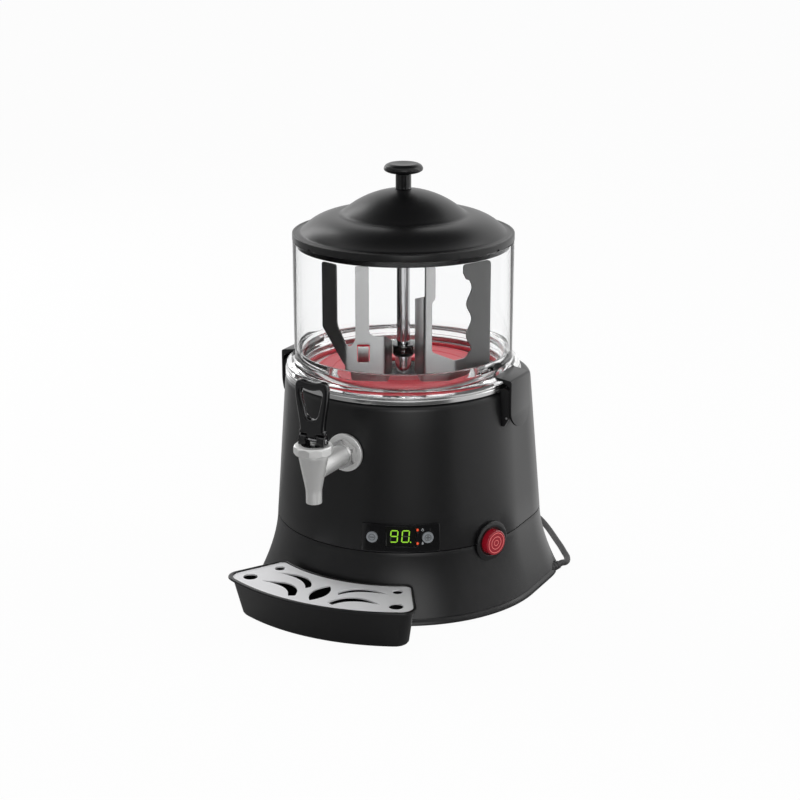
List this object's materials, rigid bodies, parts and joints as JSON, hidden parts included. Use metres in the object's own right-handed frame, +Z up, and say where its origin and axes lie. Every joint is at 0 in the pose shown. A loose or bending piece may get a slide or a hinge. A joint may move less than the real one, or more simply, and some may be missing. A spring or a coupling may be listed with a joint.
{
  "type": "hot chocolate dispenser",
  "caption": "Table-top hot drink dispenser: heated pan and clear bowl with a folded-sheet stirrer on a flared housing, with a lift-lever tap over a slotted drip tray.",
  "frame": {"origin": "middle of the machine's footprint, tray included, on the table", "axes": "+Z up, -Y towards the user, where the tap and the drip tray are, +X to the side of the power switch; the bowl's axis stands 40 mm behind the origin"},
  "size_m": [0.2931, 0.4575, 0.425],
  "materials": {
    "black_shell": "fine satin black moulded plastic",
    "gloss_black": "gloss black plastic",
    "lid_black": "semi-gloss black plastic",
    "rubber": "matt black rubber",
    "polished_steel": "polished stainless steel",
    "brushed_steel": "brushed stainless steel",
    "clear_plastic": "clear moulded plastic",
    "red_silicone": "translucent red silicone",
    "red_lens": "clear red plastic",
    "orange_lens": "clear orange plastic",
    "silver_plastic": "silver-grey plastic",
    "dark_window": "dark tinted window",
    "board": "green circuit board",
    "zinc": "plain grey metal",
    "brass": "plain brass"
  },
  "bodies": {
    "base": {"lower_skirt": "black_shell", "upper_housing": "black_shell", "base_plate": "zinc", "heating_pan": "polished_steel", "red_mat": "red_silicone", "bowl_gasket": "red_silicone", "column_sleeve": "polished_steel", "shaft_seal": "rubber", "drain_pipe": "brushed_steel", "water_tank": "brushed_steel", "heating_element": "brushed_steel", "temperature_probe": "brass", "gearbox": "zinc", "gear_motor": "zinc", "motor_bracket": "brushed_steel", "control_board": "board", "bowl": "clear_plastic", "control_panel": "gloss_black", "display_window": "dark_window", "led_heat": "orange_lens", "led_power": "orange_lens", "switch_bezel": "gloss_black", "tap_washer": "polished_steel", "tap_nut": "polished_steel", "tap_body": "brushed_steel", "tap_bonnet": "brushed_steel", "tap_yoke": "gloss_black", "tap_pin": "polished_steel", "cord_relief": "rubber", "cord_lead": "rubber", "cord_coil": "rubber", "plug": "rubber", "plug_pin_left": "brass", "plug_pin_right": "brass", "rubber_foot_1": "rubber", "rubber_foot_2": "rubber", "rubber_foot_3": "rubber", "rubber_foot_4": "rubber", "latch_bracket_left": "gloss_black", "latch_pin_left": "polished_steel", "latch_bracket_right": "gloss_black", "latch_pin_right": "polished_steel"},
    "lid": {"lid": "lid_black", "lid_knob_neck": "gloss_black", "lid_knob": "lid_black", "lid_knob_screw": "polished_steel"},
    "stirrer": {"drive_shaft": "polished_steel", "stirrer_bushing": "gloss_black", "stirrer_tube": "polished_steel", "stirrer_blades": "brushed_steel"},
    "tap_lever": {"tap_handle": "gloss_black"},
    "tap_valve": {"tap_plunger": "polished_steel", "tap_seat": "rubber"},
    "latch_left": {"latch_lever_left": "gloss_black"},
    "latch_right": {"latch_lever_right": "gloss_black"},
    "drip_tray": {"drip_tray": "black_shell"},
    "drip_grid": {"drip_grid": "polished_steel"},
    "minus_key": {"button_minus": "silver_plastic"},
    "plus_key": {"button_plus": "silver_plastic"},
    "power_key": {"power_button": "red_lens"}
  },
  "joints": [
    {"name": "lid_lift", "type": "slide", "parent": "base", "child": "lid", "axis": [0, 0, 1], "range_m": [0, 0.12]},
    {"name": "stirrer_spin", "type": "hinge", "parent": "base", "child": "stirrer", "pos_m": [0, 0.04, 0.24], "axis": [0, 0, 1], "continuous": true},
    {"name": "tap_lever_pull", "type": "hinge", "parent": "base", "child": "tap_lever", "pos_m": [0, -0.143, 0.1976], "axis": [1, 0, 0], "range_deg": [0, 32], "stiffness_Nm_per_rad": 0.25, "springref_deg": -20.05},
    {"name": "tap_valve_lift", "type": "slide", "parent": "base", "child": "tap_valve", "axis": [0, 0, 1], "range_m": [0, 0.0026]},
    {"name": "latch_left_open", "type": "hinge", "parent": "base", "child": "latch_left", "pos_m": [-0.1224, 0.04, 0.1896], "axis": [0, -1, 0], "range_deg": [0, 30]},
    {"name": "latch_right_open", "type": "hinge", "parent": "base", "child": "latch_right", "pos_m": [0.1224, 0.04, 0.1896], "axis": [0, 1, 0], "range_deg": [0, 30]},
    {"name": "tray_pull", "type": "slide", "parent": "base", "child": "drip_tray", "axis": [0, -1, 0], "range_m": [0, 0.12]},
    {"name": "grid_lift", "type": "slide", "parent": "drip_tray", "child": "drip_grid", "axis": [0, 0, 1], "range_m": [0, 0.05]},
    {"name": "minus_press", "type": "slide", "parent": "base", "child": "minus_key", "axis": [-0.2334, 0.9724, 0], "range_m": [0, 0.0008], "stiffness_N_per_m": 600, "springref_m": -0.001},
    {"name": "plus_press", "type": "slide", "parent": "base", "child": "plus_key", "axis": [-0.6074, 0.7944, 0], "range_m": [0, 0.0008], "stiffness_N_per_m": 600, "springref_m": -0.001},
    {"name": "power_press", "type": "slide", "parent": "base", "child": "power_key", "axis": [-0.9317, 0.3633, 0], "range_m": [0, 0.003], "stiffness_N_per_m": 600, "springref_m": -0.002}
  ],
  "couplings": [
    {"joint": "tap_valve_lift", "follows": "tap_lever_pull", "m_per_rad": 0.004476}
  ]
}
